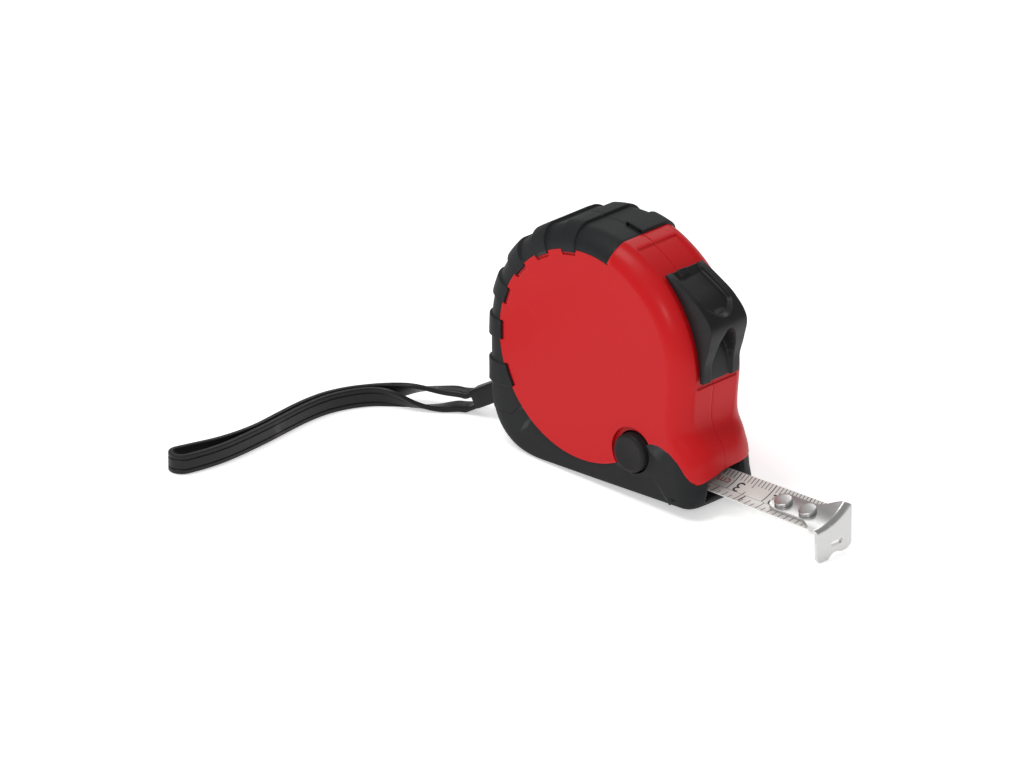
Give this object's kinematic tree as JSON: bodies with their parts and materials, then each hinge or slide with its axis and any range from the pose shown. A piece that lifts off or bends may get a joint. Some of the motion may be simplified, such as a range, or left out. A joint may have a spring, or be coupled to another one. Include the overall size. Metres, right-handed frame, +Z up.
{
  "type": "pocket tape measure",
  "caption": "Pocket tape measure in a rubber-edged case, with thumb lock, brake button, end hook and wrist strap.",
  "frame": {"origin": "on the plane of the case's flat base, straight below the axis of the reel, in the middle of the case's thickness", "axes": "+X along the blade towards its hook, -Y the side with the brake button, +Z up from the base"},
  "size_m": [0.1268, 0.0849, 0.0619],
  "materials": {
    "case": "satin moulded red plastic",
    "grip": "matt moulded rubber",
    "lock": "finely textured black plastic",
    "strap": "smooth flexible rubber",
    "spool": "plain moulded plastic",
    "blade": "enamelled steel strip",
    "hook": "nickel plated steel",
    "screws": "dark plated steel",
    "post": "plain turned steel",
    "springs": "blued spring steel"
  },
  "bodies": {
    "case": {"near_shell": "case", "far_shell": "case", "near_grip": "grip", "far_grip": "grip", "near_base": "grip", "far_base": "grip", "case_screw_1": "screws", "case_screw_2": "screws", "case_screw_3": "screws", "centre_post": "post", "strap": "strap", "strap_tab": "strap", "strap_pin": "post", "button_spring": "springs"},
    "reel": {"spool": "spool", "spool_cover": "spool", "blade_coil": "blade", "power_spring": "springs"},
    "tape": {"blade": "blade", "rivet_rear": "hook", "rivet_front": "hook"},
    "hook": {"end_hook": "hook"},
    "lock": {"thumb_lock": "lock", "lock_shoe": "lock"},
    "button": {"brake_button": "lock", "brake_pad": "grip"}
  },
  "joints": [
    {"name": "reel_spin", "type": "hinge", "parent": "case", "child": "reel", "pos_m": [0, 0, 0.0279], "axis": [0, 1, 0], "range_deg": [-45, 94]},
    {"name": "blade_slide", "type": "slide", "parent": "case", "child": "tape", "axis": [1, 0, 0], "range_m": [-0.029, 0.014]},
    {"name": "hook_slide", "type": "slide", "parent": "tape", "child": "hook", "axis": [1, 0, 0], "range_m": [0, 0.0008]},
    {"name": "lock_turn", "type": "hinge", "parent": "case", "child": "lock", "pos_m": [0, 0, 0.0279], "axis": [0, -1, 0], "range_deg": [0, 15]},
    {"name": "button_press", "type": "slide", "parent": "case", "child": "button", "axis": [0, 1, 0], "range_m": [0, 0.0011], "stiffness_N_per_m": 300, "springref_m": -0.0005, "deforming": ["button_spring"]}
  ],
  "couplings": [
    {"joint": "blade_slide", "follows": "reel_spin", "m_per_rad": -0.0175}
  ]
}
